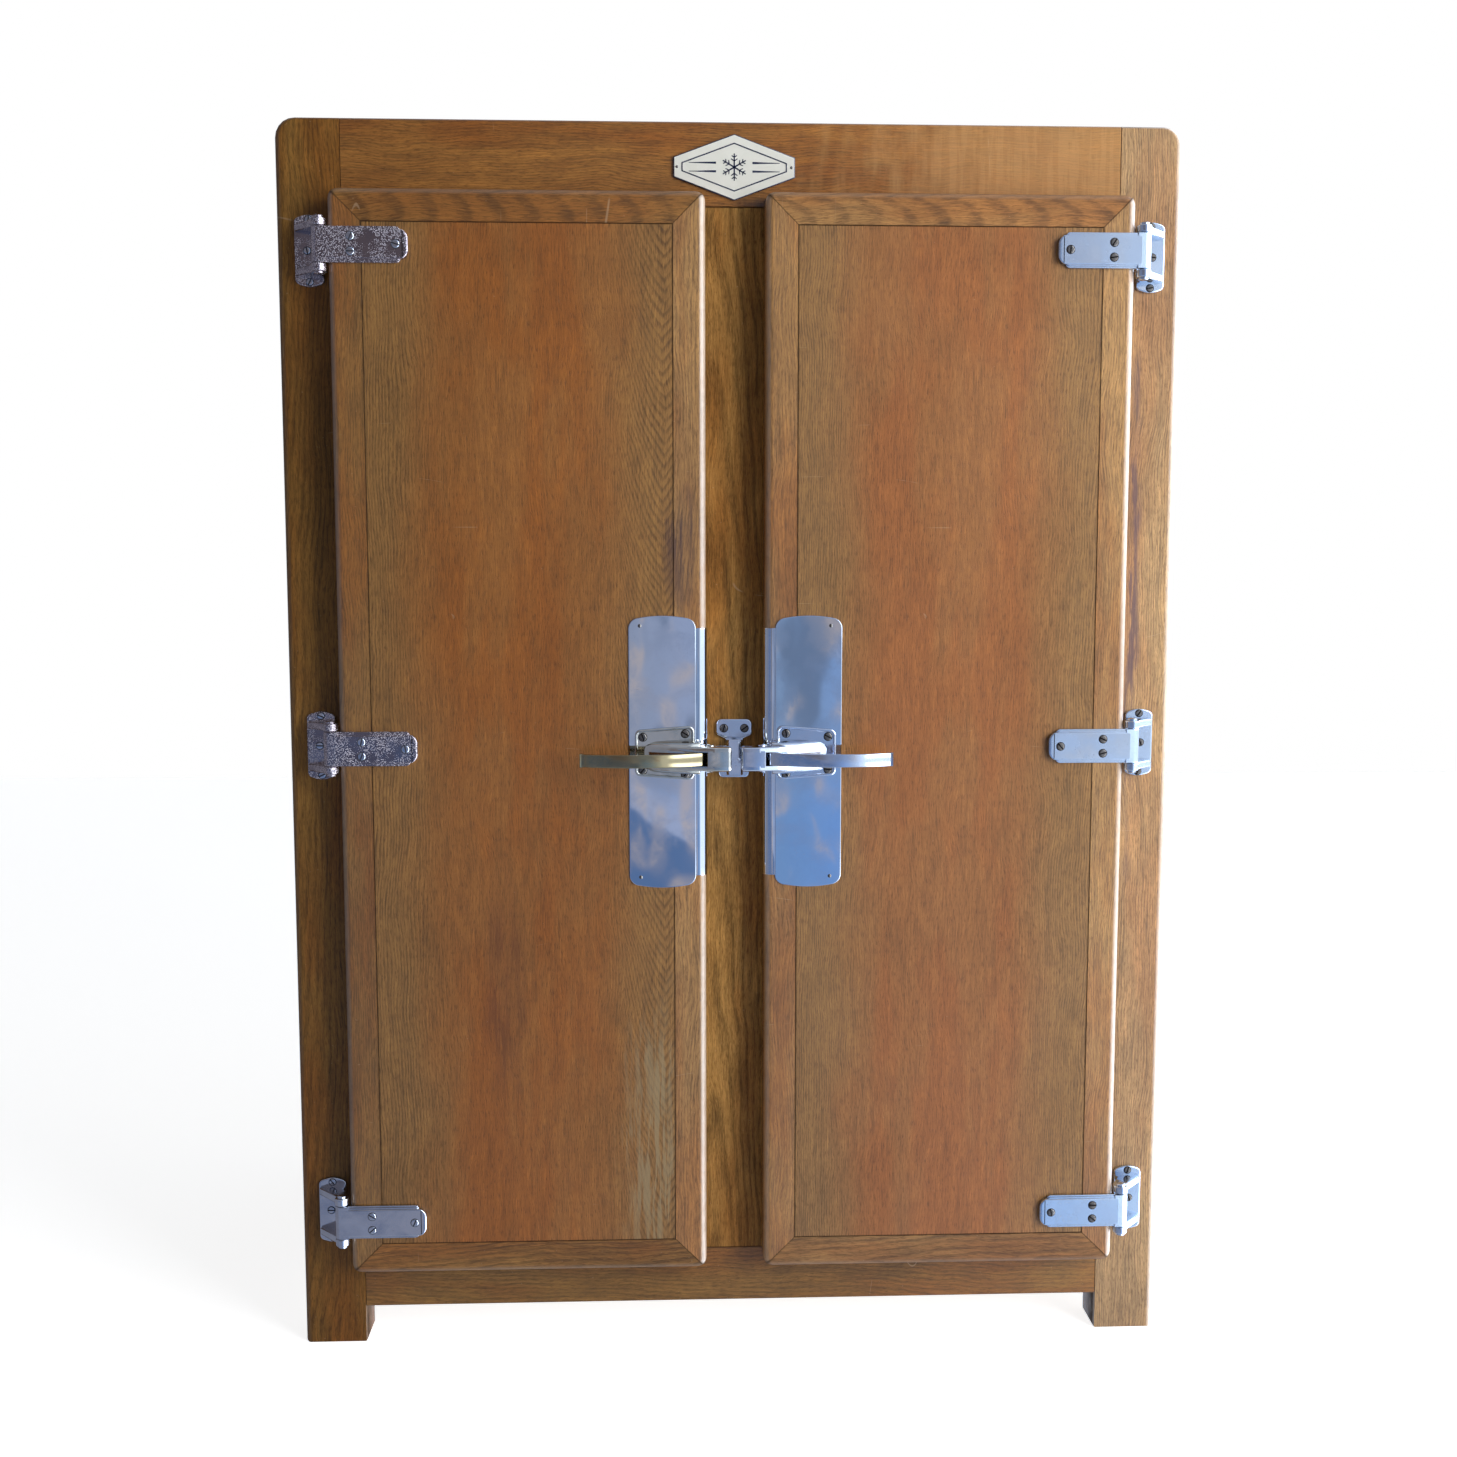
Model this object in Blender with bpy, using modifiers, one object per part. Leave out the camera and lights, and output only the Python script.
"""Two-door oak icebox on four square legs, with strap hinges and a pair of lever latches.

Metres, +Z up. The doors face -Y. The origin is on the floor, under the middle of the whole object.
Depths are counted from the front face of the cabinet: minus is towards the viewer, plus is inside.
Everything on the right (+X) is drawn once, and the left is the same shape on the other side.
"""
import math

import bmesh
import bpy
from mathutils import Matrix, Vector

# ---- driving dimensions ----
HALF_WIDTH = 0.600            # half the width over the posts
HEIGHT = 1.665                # floor to the top of the cabinet
DEPTH = 0.650                 # front face to back face of the cabinet
FACE_Y = -0.27125             # where the front face stands, so that the whole object is centred
GAP = 0.0003                  # fitting gap between pieces that touch
POST_WIDTH = 0.085            # front and rear posts
POST_DEPTH = 0.060
REAR_POST_DEPTH = 0.035
LEG_HEIGHT = 0.0515           # clear height under the bottom rail
TOP_THICKNESS = 0.026
TOP_CORNER_RADIUS = 0.026
RAIL_TOP_OF_BOTTOM = 0.1287   # top edge of the bottom rail
RAIL_BOTTOM_OF_TOP = 1.5547   # bottom edge of the top rail
MULLION_HALF = 0.050

SIDE_INNER = 0.580            # inner face of the side panels
SIDE_FIELD = 0.592            # outer face of a side panel between its two rails
BOTTOM_THICKNESS = 0.015
BACK_THICKNESS = 0.018

LINER_HALF = 0.516            # inside of the zinc liner
LINER_FLOOR = 0.1275
LINER_CEILING = 1.556
LINER_BACK = 0.555            # depth of its back wall
LINER_WALL = 0.003
LEDGE_REACH = 0.010
LEDGE_HEIGHT = 0.006
DIVIDER_HALF = 0.006
DIVIDER_FRONT = 0.0703
DIVIDER_RUNG = 0.025          # metal left above and below each ledge
RIGHT_LEDGES = (0.480, 0.840, 1.200)
LEFT_LEDGES = (0.480, 0.990)
SHELF_THICKNESS = 0.006
SHELF_DEPTHS = (0.080, 0.500)
SHELF_SLOTS = 9
SHELF_BAR = 0.008
SHELF_END = 0.020
TANK_HEIGHT = 0.300
TANK_WALL = 0.003
PIPE_X = -0.450
PIPE_DEPTH = 0.5275
PIPE_RADIUS = 0.009
PIPE_BORE = 0.006
PAN_X = (-0.505, -0.205)
PAN_DEPTHS = (0.180, 0.580)
PAN_Z = (0.0005, 0.034)
PAN_WALL = 0.002

DOOR_X = (0.039, 0.525)       # inner and outer edge of the right door
DOOR_Z = (0.1185, 1.566)
DOOR_FRONT = -0.045           # depth of the door's front face
DOOR_BACK = -0.003
DOOR_MEMBER = 0.043           # width of the mitred frame
DOOR_ROUND = 0.010
DOOR_PANEL_BACK = -0.038
PLUG_X = (0.060, 0.507)       # the insulated block that enters the opening
PLUG_Z = (0.137, 1.5465)
PLUG_BACK = 0.035
PAN_FLANGE_X = (0.0525, 0.5125)
PAN_FLANGE_Z = (0.1315, 1.5520)
DOOR_PAN_WALL = 0.002
GASKET_OUTER_X = (0.0405, 0.5235)
GASKET_OUTER_Z = (0.1200, 1.5645)
GASKET_INNER_X = (0.0492, 0.5158)
GASKET_INNER_Z = (0.1280, 1.5555)

HINGE_HEIGHTS = {"top": 1.493, "middle": 0.842, "bottom": 0.194}
PIN_X = 0.536                 # hinge pin of the right door
PIN_DEPTH = -0.044
PIN_RADIUS = 0.0035
PIN_HOLE = 0.0038
PIN_HEAD_RADIUS = 0.006
PIN_HALF_LENGTH = 0.0375
BASE_X = (0.5375, 0.5755)
BASE_HALF_HEIGHT = 0.0475
BASE_THICKNESS = 0.005
EAR_Z = (0.0235, 0.0335)
EAR_RADIUS = 0.0095
BARREL_RADIUS = 0.009
STRAP_HALF_HEIGHT = 0.023
STRAP_TIP_X = 0.421
STRAP_THICKNESS = 0.008

LATCH_Z = 0.835
LATCH_PLATE_X = (0.053, 0.142)
LATCH_PLATE_HALF_HEIGHT = 0.1845
LATCH_WRAP_HALF_HEIGHT = 0.166
LATCH_PLATE_THICKNESS = 0.0015
WRAP_BACK = -0.018
HOUSING_THICKNESS = 0.004
HOUSING_NOSE = (0.0065, -0.0865)   # x of the nose's tip, and the depth of its front
NOSE_WALL = 0.0025
LEVER_Z = 0.830
LEVER_HALF_HEIGHT = 0.00875
LEVER_HALF_THICKNESS = 0.0025
LEVER_PIVOT = (0.034, -0.070)
ARM_Z = (0.0092, 0.0160)
LEVER_PIN_RADIUS = 0.003
LEVER_PIN_HOLE = 0.0033
KEEPER_LIP_HALF = 0.011
KEEPER_LIP_DEPTHS = (-0.028, -0.022)
KEEPER_WEB_HALF = 0.004

BADGE_HALF_WIDTH = 0.080
BADGE_HALF_HEIGHT = 0.0425
BADGE_SIDE_HALF = 0.013
BADGE_Z = 1.605
BADGE_THICKNESS = 0.0035

MATERIALS = {
    "oak": ((0.36, 0.19, 0.07), 0.45, 0.0),
    "oak_veneer": ((0.33, 0.15, 0.055), 0.42, 0.0),
    "cork": ((0.30, 0.17, 0.08), 0.9, 0.0),
    "zinc": ((0.50, 0.51, 0.52), 0.45, 1.0),
    "chrome": ((0.62, 0.62, 0.60), 0.18, 1.0),
    "enamel": ((0.72, 0.70, 0.60), 0.25, 0.0),
    "rubber": ((0.05, 0.045, 0.04), 0.75, 0.0),
}

for old in list(bpy.data.objects):
    bpy.data.objects.remove(old, do_unlink=True)

PARTS = bpy.data.collections.new("icebox")
CUTTERS = bpy.data.collections.new("cutters")
for group in (PARTS, CUTTERS):
    bpy.context.scene.collection.children.link(group)


def make_materials():
    """One Principled BSDF material for each finish."""
    made = {}
    for name, (colour, roughness, metallic) in MATERIALS.items():
        material = bpy.data.materials.new(name)
        material.use_nodes = True
        shader = material.node_tree.nodes["Principled BSDF"]
        shader.inputs["Base Color"].default_value = (*colour, 1.0)
        shader.inputs["Roughness"].default_value = roughness
        shader.inputs["Metallic"].default_value = metallic
        made[name] = material
    return made


FINISH = make_materials()


# ---- making solids ----
def finish_solid(name, bm, centre, finish):
    """Puts a bmesh in the scene as a named object. A solid with no finish is a cutter."""
    bmesh.ops.recalc_face_normals(bm, faces=bm.faces)
    mesh = bpy.data.meshes.new(name)
    bm.to_mesh(mesh)
    bm.free()
    solid = bpy.data.objects.new(name, mesh)
    solid.location = centre
    if finish:
        mesh.materials.append(FINISH[finish])
        PARTS.objects.link(solid)
    else:
        CUTTERS.objects.link(solid)
        solid.hide_render = True
        solid.display_type = "WIRE"
    return solid


def block(name, x, depth, z, finish=None):
    """A box between two corners. Depth is counted from the cabinet's front face."""
    low = Vector((min(x), FACE_Y + min(depth), min(z)))
    high = Vector((max(x), FACE_Y + max(depth), max(z)))
    bm = bmesh.new()
    bmesh.ops.create_cube(bm, size=1.0, matrix=Matrix.Diagonal((*(high - low), 1.0)))
    return finish_solid(name, bm, (low + high) / 2, finish)


def slab(name, outline, along, span, finish=None):
    """A flat outline given thickness. Along "depth" the outline is (x, z); along "z" it is (x, depth)."""
    low, high = min(span), max(span)
    bm = bmesh.new()
    if along == "depth":
        corners = [(x, FACE_Y + low, z) for x, z in outline]
        push = Vector((0, high - low, 0))
    else:
        corners = [(x, FACE_Y + depth, low) for x, depth in outline]
        push = Vector((0, 0, high - low))
    centre = sum((Vector(corner) for corner in corners), Vector()) / len(corners) + push / 2
    face = bm.faces.new([bm.verts.new(Vector(corner) - centre) for corner in corners])
    raised = bmesh.ops.extrude_face_region(bm, geom=[face], use_keep_orig=True)
    moved = [item for item in raised["geom"] if isinstance(item, bmesh.types.BMVert)]
    bmesh.ops.translate(bm, verts=moved, vec=push)
    return finish_solid(name, bm, centre, finish)


def rod(name, x, depth, z, radius, sides=16, finish=None):
    """An upright cylinder between two heights."""
    bm = bmesh.new()
    bmesh.ops.create_cone(bm, cap_ends=True, segments=sides, radius1=radius, radius2=radius,
                          depth=max(z) - min(z))
    return finish_solid(name, bm, Vector((x, FACE_Y + depth, (z[0] + z[1]) / 2)), finish)


def turned_pin(name, x, depth, z, half_length, shank, head, head_height, finish):
    """A pin with a flat head at both ends: its profile turned about the upright axis."""
    inner = half_length - head_height
    profile = [(0, half_length), (head, half_length), (head, inner), (shank, inner),
               (shank, -inner), (head, -inner), (head, -half_length), (0, -half_length)]
    bm = bmesh.new()
    verts = [bm.verts.new((radius, 0, height)) for radius, height in profile]
    for upper, lower in zip(verts, verts[1:]):
        bm.edges.new((upper, lower))
    mesh = bpy.data.meshes.new(name)
    bm.to_mesh(mesh)
    bm.free()
    pin = bpy.data.objects.new(name, mesh)
    pin.location = (x, FACE_Y + depth, z)
    mesh.materials.append(FINISH[finish])
    PARTS.objects.link(pin)
    screw = pin.modifiers.new("turn", "SCREW")
    screw.steps = 12
    screw.render_steps = 12
    screw.use_merge_vertices = True
    screw.merge_threshold = 0.00005
    return pin


def combine(solid, other, operation):
    """Adds another solid to this one, or takes it away."""
    change = solid.modifiers.new(other.name, "BOOLEAN")
    change.operation = operation
    change.solver = "EXACT"
    change.object = other
    return solid


def cut(solid, other):
    return combine(solid, other, "DIFFERENCE")


def join(solid, other):
    return combine(solid, other, "UNION")


def round_edges(solid, width, segments, chosen):
    """Rounds the edges for which chosen(edge) is true, by bevel weight."""
    bm = bmesh.new()
    bm.from_mesh(solid.data)
    weight = bm.edges.layers.float.new("bevel_weight_edge")
    for edge in bm.edges:
        edge[weight] = 1.0 if chosen(edge) else 0.0
    bm.to_mesh(solid.data)
    bm.free()
    bevel = solid.modifiers.new("round", "BEVEL")
    bevel.limit_method = "WEIGHT"
    bevel.width = width
    bevel.segments = segments
    return solid


def arc(centre, radius, start, end, steps):
    """Points on a circle from one angle to another, in degrees, both ends included."""
    angles = [math.radians(start + (end - start) * i / steps) for i in range(steps + 1)]
    return [(centre[0] + radius * math.cos(a), centre[1] + radius * math.sin(a)) for a in angles]


def sided(side, outline):
    """The outline as drawn for the right, moved to the side that is asked for."""
    return [(side * x, other) for x, other in outline]


def shrink(span, by):
    return (min(span) + by, max(span) - by)


# ---- joints ----
def pivot(name, x, depth, z):
    """An empty on a joint's axis, which carries the pieces that turn about it."""
    empty = bpy.data.objects.new(name, None)
    empty.empty_display_size = 0.05
    empty.location = (x, FACE_Y + depth, z)
    PARTS.objects.link(empty)
    return empty


def hang(solid, empty):
    """Parents a solid to a pivot without moving it."""
    solid.location = Vector(solid.location) - Vector(empty.location)
    solid.parent = empty
    return solid


# ---- cabinet ----
def make_front_post(side, name):
    """A full-height post: its foot is the leg, and its top outer corner is rounded."""
    corner = (HALF_WIDTH - TOP_CORNER_RADIUS, HEIGHT - TOP_CORNER_RADIUS)
    outline = [(HALF_WIDTH - POST_WIDTH, 0), (HALF_WIDTH, 0)]
    outline += arc(corner, TOP_CORNER_RADIUS, 0, 90, 5)
    outline += [(HALF_WIDTH - POST_WIDTH, HEIGHT)]
    return slab(name, sided(side, outline), "depth", (0, POST_DEPTH), "oak")


def make_face_frame():
    inner = HALF_WIDTH - POST_WIDTH - GAP
    make_front_post(-1, "front_left_post")
    make_front_post(1, "front_right_post")
    block("top_rail", (-inner, inner), (0, POST_DEPTH), (RAIL_BOTTOM_OF_TOP, HEIGHT), "oak")
    block("bottom_rail", (-inner, inner), (0, POST_DEPTH), (LEG_HEIGHT, RAIL_TOP_OF_BOTTOM), "oak")
    mullion_z = (RAIL_TOP_OF_BOTTOM + GAP, RAIL_BOTTOM_OF_TOP - GAP)
    block("centre_mullion", (-MULLION_HALF, MULLION_HALF), (0, POST_DEPTH), mullion_z, "oak")


def make_side_panel(side, name):
    """A side board with a thicker rail at its top and bottom."""
    low, high = LEG_HEIGHT, HEIGHT - TOP_THICKNESS - GAP
    outline = [(SIDE_INNER, low), (HALF_WIDTH, low), (HALF_WIDTH, RAIL_TOP_OF_BOTTOM),
               (SIDE_FIELD, RAIL_TOP_OF_BOTTOM), (SIDE_FIELD, RAIL_BOTTOM_OF_TOP),
               (HALF_WIDTH, RAIL_BOTTOM_OF_TOP), (HALF_WIDTH, high), (SIDE_INNER, high)]
    depths = (POST_DEPTH + GAP, DEPTH - REAR_POST_DEPTH - GAP)
    return slab(name, sided(side, outline), "depth", depths, "oak")


def make_carcass():
    under_top = HEIGHT - TOP_THICKNESS - GAP
    rear = (DEPTH - REAR_POST_DEPTH, DEPTH)
    for side, word in ((-1, "left"), (1, "right")):
        make_side_panel(side, word + "_side_panel")
        post_x = (side * (HALF_WIDTH - POST_WIDTH), side * HALF_WIDTH)
        block("rear_" + word + "_post", post_x, rear, (0, under_top), "oak")
    inner = HALF_WIDTH - POST_WIDTH - GAP
    back = (rear[0], rear[0] + BACK_THICKNESS)
    block("back_panel", (-inner, inner), back, (LEG_HEIGHT, under_top), "oak")
    corner_z = HEIGHT - TOP_CORNER_RADIUS
    corner_x = HALF_WIDTH - TOP_CORNER_RADIUS
    top = arc((corner_x, corner_z), TOP_CORNER_RADIUS, 0, 90, 5)
    top += arc((-corner_x, corner_z), TOP_CORNER_RADIUS, 90, 180, 5)
    slab("top_panel", top, "depth", (POST_DEPTH + GAP, DEPTH), "oak")
    inside = (POST_DEPTH + GAP, rear[0] - GAP)
    wide = SIDE_INNER - GAP
    floor = block("bottom_panel", (-wide, wide), inside, (LEG_HEIGHT, LEG_HEIGHT + BOTTOM_THICKNESS), "oak")
    cut(floor, pipe_hole("bottom_panel_hole"))


def pipe_hole(name):
    """Clearance for the drain pipe through a floor."""
    return rod(name, PIPE_X, PIPE_DEPTH, (0.02, LINER_FLOOR + 0.05), PIPE_RADIUS + GAP)


def make_insulation():
    """Cork slabs round the liner, as one box that is open at the front."""
    wide = SIDE_INNER - GAP
    z = (LEG_HEIGHT + BOTTOM_THICKNESS + GAP, HEIGHT - TOP_THICKNESS - GAP)
    cork = block("cork_insulation", (-wide, wide), (POST_DEPTH + GAP, DEPTH - REAR_POST_DEPTH - GAP), z, "cork")
    room = LINER_HALF + LINER_WALL + GAP
    hollow_z = (LINER_FLOOR - LINER_WALL - GAP, LINER_CEILING + LINER_WALL + GAP)
    cut(cork, block("cork_room", (-room, room), (0, LINER_BACK + LINER_WALL + GAP), hollow_z))
    cut(cork, pipe_hole("cork_hole"))


def ledged_edge(x, ledges, reach):
    """One upright edge of an outline, stepping out under each shelf, from the bottom up."""
    points = []
    for top in ledges:
        points += [(x, top - LEDGE_HEIGHT), (x + reach, top - LEDGE_HEIGHT), (x + reach, top), (x, top)]
    return points


def make_liner():
    """Zinc box, open at the front, with ledges pressed into its two sides."""
    outer = LINER_HALF + LINER_WALL
    depths = (POST_DEPTH + GAP, LINER_BACK + LINER_WALL)
    z = (LINER_FLOOR - LINER_WALL, LINER_CEILING + LINER_WALL)
    liner = block("zinc_liner", (-outer, outer), depths, z, "zinc")
    room = [(-LINER_HALF, LINER_FLOOR), (LINER_HALF, LINER_FLOOR)]
    room += ledged_edge(LINER_HALF, RIGHT_LEDGES, -LEDGE_REACH)
    room += [(LINER_HALF, LINER_CEILING), (-LINER_HALF, LINER_CEILING)]
    room += reversed(ledged_edge(-LINER_HALF, LEFT_LEDGES, LEDGE_REACH))
    cut(liner, slab("liner_room", room, "depth", (0.02, LINER_BACK)))
    cut(liner, pipe_hole("liner_hole"))


def make_divider():
    """The ladder in the middle, which carries the inner ends of the shelves on both sides."""
    low, high = LINER_FLOOR + GAP, LINER_CEILING - GAP
    outline = [(-DIVIDER_HALF, low), (DIVIDER_HALF, low)]
    outline += ledged_edge(DIVIDER_HALF, RIGHT_LEDGES, LEDGE_REACH)
    outline += [(DIVIDER_HALF, high), (-DIVIDER_HALF, high)]
    outline += reversed(ledged_edge(-DIVIDER_HALF, LEFT_LEDGES, -LEDGE_REACH))
    ladder = slab("shelf_divider", outline, "depth", (DIVIDER_FRONT, LINER_BACK - GAP), "zinc")
    stops = [low] + sorted(set(RIGHT_LEDGES + LEFT_LEDGES)) + [high]
    for number, (below, above) in enumerate(zip(stops, stops[1:])):
        window = block("divider_window_%d" % number, (-0.03, 0.03), (0.100, 0.525), shrink((below, above), DIVIDER_RUNG))
        cut(ladder, window)


def make_shelf(side, name, ledge):
    """A slatted shelf that rests on a ledge at each end."""
    x = (side * (DIVIDER_HALF + 0.002), side * (LINER_HALF - 0.002))
    bottom = ledge + GAP
    shelf = block(name, x, SHELF_DEPTHS, (bottom, bottom + SHELF_THICKNESS), "zinc")
    pitch = (SHELF_DEPTHS[1] - SHELF_DEPTHS[0] - SHELF_BAR) / SHELF_SLOTS
    for number in range(SHELF_SLOTS):
        start = SHELF_DEPTHS[0] + number * pitch
        slot = block("%s_slot_%d" % (name, number), shrink(x, SHELF_END), (start + SHELF_BAR, start + pitch),
                     (bottom - 0.01, bottom + 0.02))
        cut(shelf, slot)


def make_fittings():
    """What stands inside the liner, and the drip pan on the floor below it."""
    make_shelf(-1, "left_lower_shelf", LEFT_LEDGES[0])
    for word, ledge in zip(("lower", "middle", "upper"), RIGHT_LEDGES):
        make_shelf(1, "right_%s_shelf" % word, ledge)
    tank_bottom = LEFT_LEDGES[1] + GAP
    tank_x = (-(LINER_HALF - 0.002), -(DIVIDER_HALF + 0.002))
    tank_z = (tank_bottom, tank_bottom + TANK_HEIGHT)
    tank = block("ice_tank", tank_x, (0.080, 0.545), tank_z, "zinc")
    inner_z = (tank_bottom + TANK_WALL, tank_z[1] + 0.05)
    cut(tank, block("tank_room", shrink(tank_x, TANK_WALL), (0.080 + TANK_WALL, 0.545 - TANK_WALL), inner_z))
    cut(tank, rod("tank_drain", PIPE_X, PIPE_DEPTH - 0.004, (tank_bottom - 0.02, tank_bottom + 0.02), 0.004))
    pipe_z = (0.040, LEFT_LEDGES[1])
    pipe = rod("drain_pipe", PIPE_X, PIPE_DEPTH, pipe_z, PIPE_RADIUS, finish="zinc")
    cut(pipe, rod("pipe_bore", PIPE_X, PIPE_DEPTH, (0.02, 1.05), PIPE_BORE))
    pan = block("drip_pan", PAN_X, PAN_DEPTHS, PAN_Z, "zinc")
    pan_room_z = (PAN_Z[0] + PAN_WALL, PAN_Z[1] + 0.02)
    cut(pan, block("pan_room", shrink(PAN_X, PAN_WALL), shrink(PAN_DEPTHS, PAN_WALL), pan_room_z))
    return pan


def make_badge():
    """A long hexagon of enamelled sheet on the top rail."""
    outline = [(BADGE_HALF_WIDTH, BADGE_Z - BADGE_SIDE_HALF), (BADGE_HALF_WIDTH, BADGE_Z + BADGE_SIDE_HALF),
               (0, BADGE_Z + BADGE_HALF_HEIGHT), (-BADGE_HALF_WIDTH, BADGE_Z + BADGE_SIDE_HALF),
               (-BADGE_HALF_WIDTH, BADGE_Z - BADGE_SIDE_HALF), (0, BADGE_Z - BADGE_HALF_HEIGHT)]
    return slab("badge_plate", outline, "depth", (-GAP - BADGE_THICKNESS, -GAP), "enamel")


def make_keeper():
    """The catch between the doors: two screw plates and an upright rib with a lip on each side."""
    plate = (-0.0043, -GAP)
    upper = [(-0.025, 0.853), (0.025, 0.853), (0.025, 0.872), (0.021, 0.876), (-0.021, 0.876), (-0.025, 0.872)]
    lower = [(-0.025, 0.788), (-0.021, 0.784), (0.021, 0.784), (0.025, 0.788), (0.025, 0.807), (-0.025, 0.807)]
    front, behind = KEEPER_LIP_DEPTHS
    rib = [(-KEEPER_WEB_HALF, -0.001), (KEEPER_WEB_HALF, -0.001), (KEEPER_WEB_HALF, behind),
           (KEEPER_LIP_HALF, behind), (KEEPER_LIP_HALF - 0.003, front), (-KEEPER_LIP_HALF + 0.003, front),
           (-KEEPER_LIP_HALF, behind), (-KEEPER_WEB_HALF, behind)]
    keeper = slab("latch_keeper", upper, "depth", plate, "chrome")
    join(keeper, slab("keeper_rib", rib, "z", (0.797, 0.863)))
    join(keeper, slab("keeper_foot", lower, "depth", plate))


# ---- doors ----
def make_door(side, word, swing):
    """Oak frame, veneered panel, cork core, zinc inner pan and rubber gasket."""
    x = sorted(side * value for value in DOOR_X)
    frame = block(word + "_door_frame", x, (DOOR_FRONT, DOOR_BACK), DOOR_Z, "oak")
    front_y = min(vertex.co.y for vertex in frame.data.vertices)
    round_edges(frame, DOOR_ROUND, 3,
                lambda edge: all(vertex.co.y < front_y + 0.001 for vertex in edge.verts)
                or abs(edge.verts[0].co.y - edge.verts[1].co.y) > 0.01)
    hole_x, hole_z = shrink(x, DOOR_MEMBER), shrink(DOOR_Z, DOOR_MEMBER)
    cut(frame, block(word + "_door_hole", hole_x, (-0.1, 0.05), hole_z))
    fit_x, fit_z = shrink(hole_x, GAP), shrink(hole_z, GAP)
    panel = block(word + "_door_panel", fit_x, (DOOR_FRONT, DOOR_PANEL_BACK), fit_z, "oak_veneer")

    plug_x = sorted(side * value for value in PLUG_X)
    flange_x = sorted(side * value for value in PAN_FLANGE_X)
    pan = block(word + "_door_inner_pan", plug_x, (DOOR_BACK + GAP, PLUG_BACK), PLUG_Z, "zinc")
    flange_depth = (DOOR_BACK + GAP, DOOR_BACK + GAP + DOOR_PAN_WALL)
    join(pan, block(word + "_pan_flange", flange_x, flange_depth, PAN_FLANGE_Z))
    hollow_x, hollow_z = shrink(plug_x, DOOR_PAN_WALL), shrink(PLUG_Z, DOOR_PAN_WALL)
    cut(pan, block(word + "_pan_room", hollow_x, (-0.02, PLUG_BACK - DOOR_PAN_WALL), hollow_z))

    core = block(word + "_door_core", fit_x, (DOOR_PANEL_BACK + GAP, 0.010), fit_z, "cork")
    core_depth = (DOOR_BACK + GAP, PLUG_BACK - DOOR_PAN_WALL - GAP)
    join(core, block(word + "_core_plug", shrink(hollow_x, GAP), core_depth, shrink(hollow_z, GAP)))

    gasket_x = sorted(side * value for value in GASKET_OUTER_X)
    gasket_room_x = sorted(side * value for value in GASKET_INNER_X)
    gasket = block(word + "_door_gasket", gasket_x, (DOOR_BACK + GAP, -GAP), GASKET_OUTER_Z, "rubber")
    cut(gasket, block(word + "_gasket_room", gasket_room_x, (-0.02, 0.02), GASKET_INNER_Z))
    for piece in (frame, panel, pan, core, gasket):
        hang(piece, swing)


def make_hinge(side, word, place, swing):
    """A base with two ears on the post, a strap with a barrel on the door, and the pin between them."""
    z = HINGE_HEIGHTS[place]
    label = "%s_%s_hinge" % (word, place)
    middle = (BASE_X[0] + BASE_X[1]) / 2
    half = (BASE_X[1] - BASE_X[0]) / 2
    shoulder = BASE_HALF_HEIGHT - 0.012
    outline = [(BASE_X[1], z - shoulder), (BASE_X[1], z + shoulder)]
    outline += [(middle + half * 0.6, z + BASE_HALF_HEIGHT), (middle - half * 0.6, z + BASE_HALF_HEIGHT)]
    outline += [(BASE_X[0], z + shoulder), (BASE_X[0], z - shoulder)]
    outline += [(middle - half * 0.6, z - BASE_HALF_HEIGHT), (middle + half * 0.6, z - BASE_HALF_HEIGHT)]
    base = slab(label + "_base", sided(side, outline), "depth", (-BASE_THICKNESS, -GAP), "chrome")
    ear = [(BASE_X[1] - 0.004, -0.003), (BASE_X[0] + 0.001, -0.003)]
    ear += arc((PIN_X, PIN_DEPTH), EAR_RADIUS, 180, 360, 6)
    for name, low, high in (("upper", *EAR_Z), ("lower", -EAR_Z[1], -EAR_Z[0])):
        join(base, slab("%s_%s_ear" % (label, name), sided(side, ear), "z", (z + low, z + high)))
    cut(base, rod(label + "_ear_holes", side * PIN_X, PIN_DEPTH, (z - 0.05, z + 0.05), PIN_HOLE, 12))

    back = DOOR_FRONT - GAP
    tip = STRAP_TIP_X + STRAP_HALF_HEIGHT * 0.7
    strap_outline = [(PIN_X - 0.005, z - STRAP_HALF_HEIGHT), (PIN_X - 0.005, z + STRAP_HALF_HEIGHT)]
    strap_outline += [(tip, z + STRAP_HALF_HEIGHT), (STRAP_TIP_X, z + 0.012)]
    strap_outline += [(STRAP_TIP_X, z - 0.012), (tip, z - STRAP_HALF_HEIGHT)]
    strap = slab(label + "_strap", sided(side, strap_outline), "depth", (back - STRAP_THICKNESS, back), "chrome")
    barrel_z = (z - STRAP_HALF_HEIGHT, z + STRAP_HALF_HEIGHT)
    join(strap, rod(label + "_barrel", side * PIN_X, PIN_DEPTH, barrel_z, BARREL_RADIUS, 16))
    cut(strap, rod(label + "_barrel_hole", side * PIN_X, PIN_DEPTH, (z - 0.05, z + 0.05), PIN_HOLE, 12))
    hang(strap, swing)
    turned_pin(label + "_pin", side * PIN_X, PIN_DEPTH, z, PIN_HALF_LENGTH, PIN_RADIUS, PIN_HEAD_RADIUS,
               PIN_HALF_LENGTH - EAR_Z[1] - GAP, "chrome")


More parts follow.
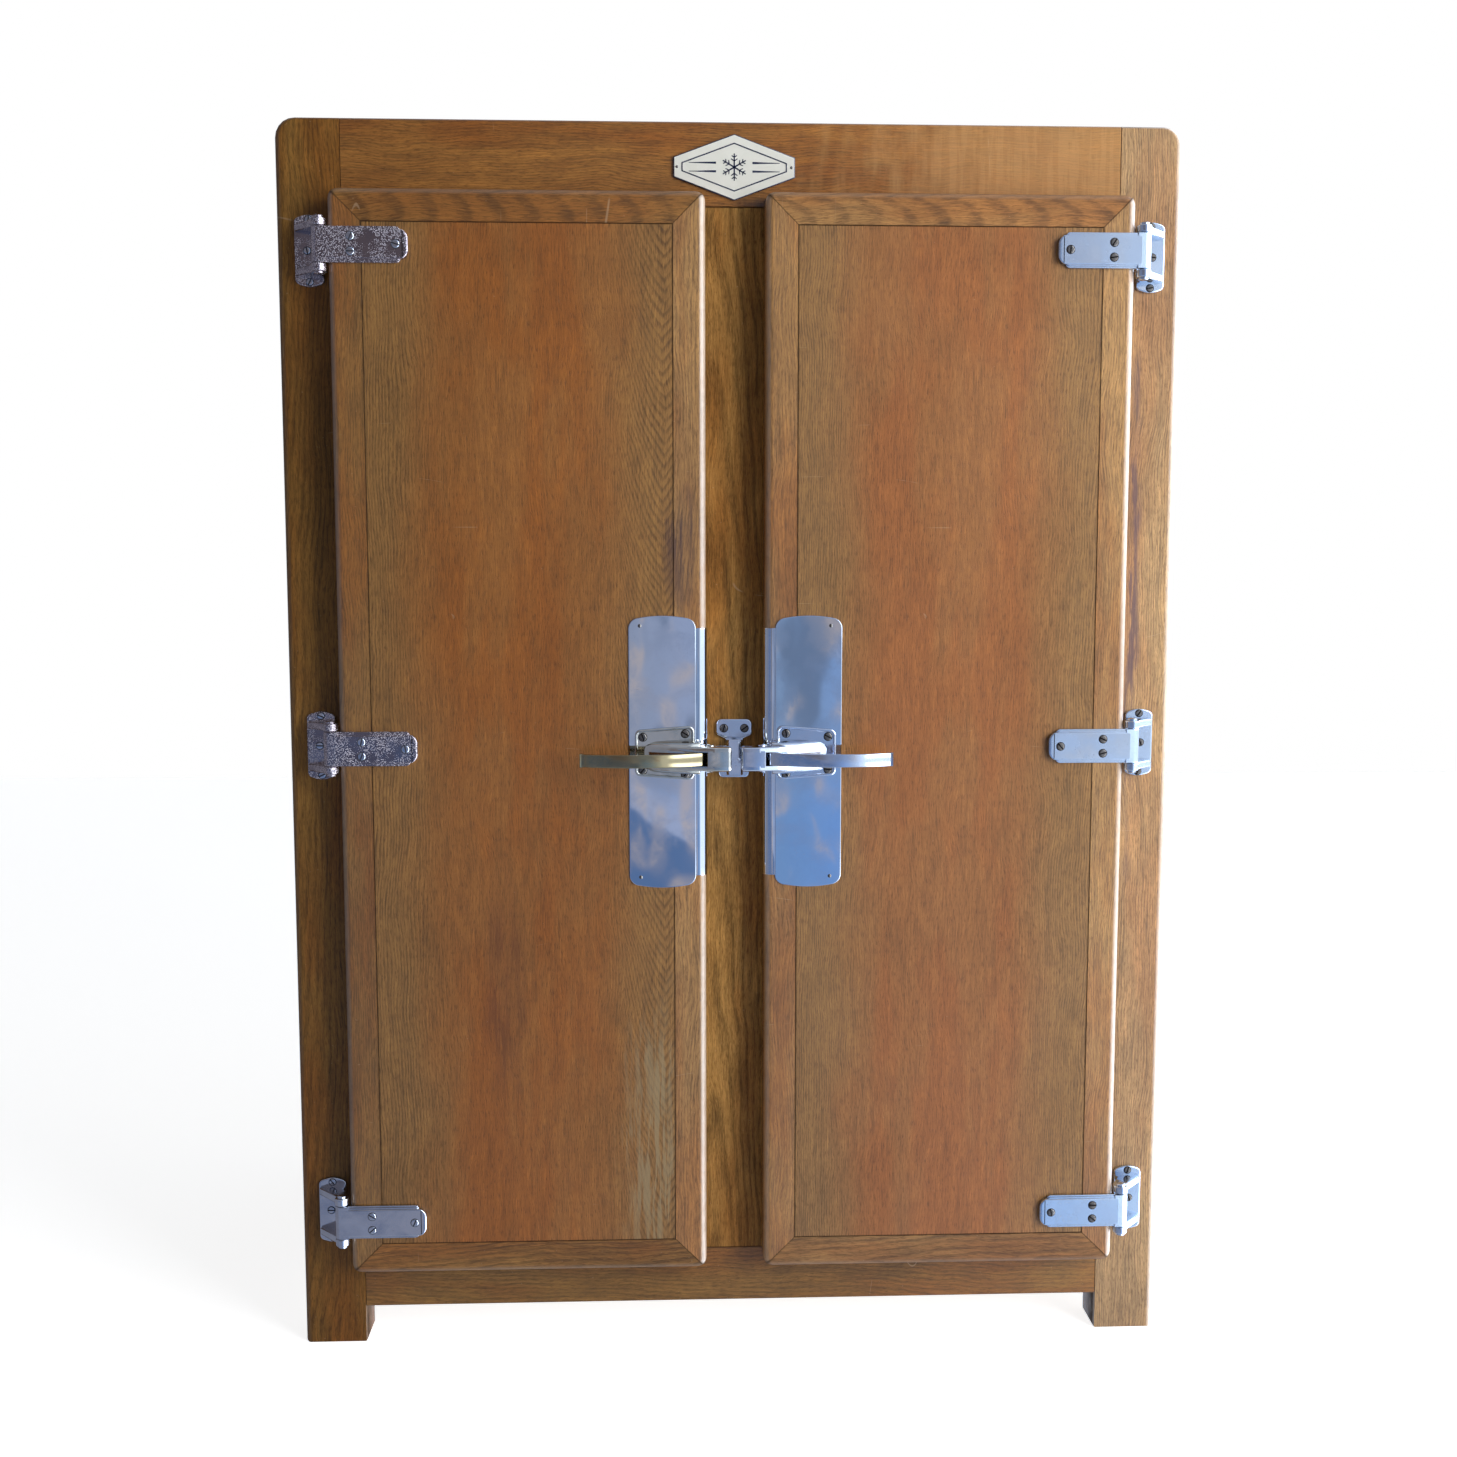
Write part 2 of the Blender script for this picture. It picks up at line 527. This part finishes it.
# ---- latches ----
def make_latch_plate(side, word):
    """A tall plate on the door's face, with a strip that wraps round the door's rounded edge."""
    low_x, high_x = LATCH_PLATE_X
    half = LATCH_PLATE_HALF_HEIGHT
    front = DOOR_FRONT - GAP - LATCH_PLATE_THICKNESS
    outline = [(low_x, LATCH_Z - half), (high_x - 0.020, LATCH_Z - half), (high_x, LATCH_Z - half + 0.020),
               (high_x, LATCH_Z + half - 0.020), (high_x - 0.020, LATCH_Z + half), (low_x, LATCH_Z + half)]
    plate = slab(word + "_latch_plate", sided(side, outline), "depth", (front, DOOR_FRONT - GAP), "chrome")
    centre = (DOOR_X[0] + DOOR_ROUND, DOOR_FRONT + DOOR_ROUND)
    outer = DOOR_ROUND + GAP + LATCH_PLATE_THICKNESS
    wrap = [(low_x + 0.01, front)] + arc(centre, outer, 270, 180, 5)
    wrap += [(centre[0] - outer, WRAP_BACK), (centre[0] - DOOR_ROUND - GAP, WRAP_BACK)]
    wrap += arc(centre, DOOR_ROUND + GAP, 180, 270, 5) + [(low_x + 0.01, DOOR_FRONT - GAP)]
    wrap_z = (LATCH_Z - LATCH_WRAP_HALF_HEIGHT, LATCH_Z + LATCH_WRAP_HALF_HEIGHT)
    return join(plate, slab(word + "_latch_wrap", sided(side, wrap), "z", wrap_z))


def make_latch_housing(side, word):
    """A screwed flange with two arms past the door's edge, closed by a nose, which hold the lever's pin."""
    back = DOOR_FRONT - 2 * GAP - LATCH_PLATE_THICKNESS
    flange = [(0.055, LATCH_Z - 0.0365), (0.134, LATCH_Z - 0.0305), (0.134, LATCH_Z + 0.0305),
              (0.055, LATCH_Z + 0.0365)]
    housing = slab(word + "_latch_housing", sided(side, flange), "depth", (back - HOUSING_THICKNESS, back),
                   "chrome")
    nose_x, nose_front = HOUSING_NOSE
    arm = [(0.120, back - 0.001), (0.100, -0.064), (0.065, -0.080), (0.030, nose_front),
           (nose_x + 0.004, nose_front), (nose_x, nose_front + 0.004), (nose_x, -0.065),
           (0.024, -0.056), (0.056, back - 0.003), (0.056, back - 0.001)]
    for name, low, high in (("upper", *ARM_Z), ("lower", -ARM_Z[1], -ARM_Z[0])):
        join(housing, slab("%s_%s_arm" % (word, name), sided(side, arm), "z", (LEVER_Z + low, LEVER_Z + high)))
    front = [(nose_x + 0.004, nose_front), (0.030, nose_front), (0.030, nose_front + NOSE_WALL),
             (nose_x + NOSE_WALL, nose_front + NOSE_WALL), (nose_x + NOSE_WALL, -0.067),
             (nose_x, -0.067), (nose_x, nose_front + 0.004)]
    nose_z = (LEVER_Z - ARM_Z[0] - 0.002, LEVER_Z + ARM_Z[0] + 0.002)
    join(housing, slab(word + "_housing_nose", sided(side, front), "z", nose_z))
    hole_z = (LEVER_Z - 0.03, LEVER_Z + 0.03)
    return cut(housing, rod(word + "_arm_holes", side * LEVER_PIVOT[0], LEVER_PIVOT[1], hole_z,
                            LEVER_PIN_HOLE, 12))


def offset_path(path, half):
    """A bar's plan outline: the path moved half its thickness to each side."""
    left, right = [], []
    for number, point in enumerate(path):
        before = Vector(path[max(number - 1, 0)])
        after = Vector(path[min(number + 1, len(path) - 1)])
        normal = (after - before).normalized().orthogonal() * half
        left.append((point[0] + normal.x, point[1] + normal.y))
        right.append((point[0] - normal.x, point[1] - normal.y))
    return left + right[::-1]


def make_lever(side, word):
    """A long bowed handle bar, whose short end hooks behind the keeper's lip."""
    path = [(0.0075, -0.0165), (0.0130, -0.0168), (0.0160, -0.0195), (0.0166, -0.030), (0.0210, -0.048),
            (0.0280, -0.0625), (0.0400, -0.0765), (0.062, -0.0905), (0.095, -0.1010), (0.130, -0.1050),
            (0.165, -0.1025), (0.192, -0.0940), (0.2075, -0.0860)]
    z = (LEVER_Z - LEVER_HALF_HEIGHT, LEVER_Z + LEVER_HALF_HEIGHT)
    lever = slab(word + "_lever", sided(side, offset_path(path, LEVER_HALF_THICKNESS)), "z", z, "chrome")
    boss = rod(word + "_lever_boss", side * LEVER_PIVOT[0], LEVER_PIVOT[1], z, 0.0065, 12)
    join(lever, boss)
    return cut(lever, rod(word + "_lever_hole", side * LEVER_PIVOT[0], LEVER_PIVOT[1],
                          (z[0] - 0.01, z[1] + 0.01), LEVER_PIN_HOLE, 12))


def make_latch(side, word, swing):
    hang(make_latch_plate(side, word), swing)
    hang(make_latch_housing(side, word), swing)
    pin = turned_pin(word + "_lever_pin", side * LEVER_PIVOT[0], LEVER_PIVOT[1], LEVER_Z, 0.0190,
                     LEVER_PIN_RADIUS, 0.005, 0.0190 - ARM_Z[1] - GAP, "chrome")
    hang(pin, swing)
    turn = pivot(word + "_lever_pivot", side * LEVER_PIVOT[0], LEVER_PIVOT[1], LEVER_Z)
    hang(make_lever(side, word), turn)
    hang(turn, swing)


# ---- assembly ----
make_face_frame()
make_carcass()
make_insulation()
make_liner()
make_divider()
drip_pan = make_fittings()
hang(drip_pan, pivot("drip_pan_slide", sum(PAN_X) / 2, PAN_DEPTHS[0], 0))
make_badge()
make_keeper()
for door_side, door_word in ((-1, "left"), (1, "right")):
    door_swing = pivot(door_word + "_door_swing", door_side * PIN_X, PIN_DEPTH, LATCH_Z)
    make_door(door_side, door_word, door_swing)
    make_latch(door_side, door_word, door_swing)
    for hinge_place in HINGE_HEIGHTS:
        make_hinge(door_side, door_word, hinge_place, door_swing)
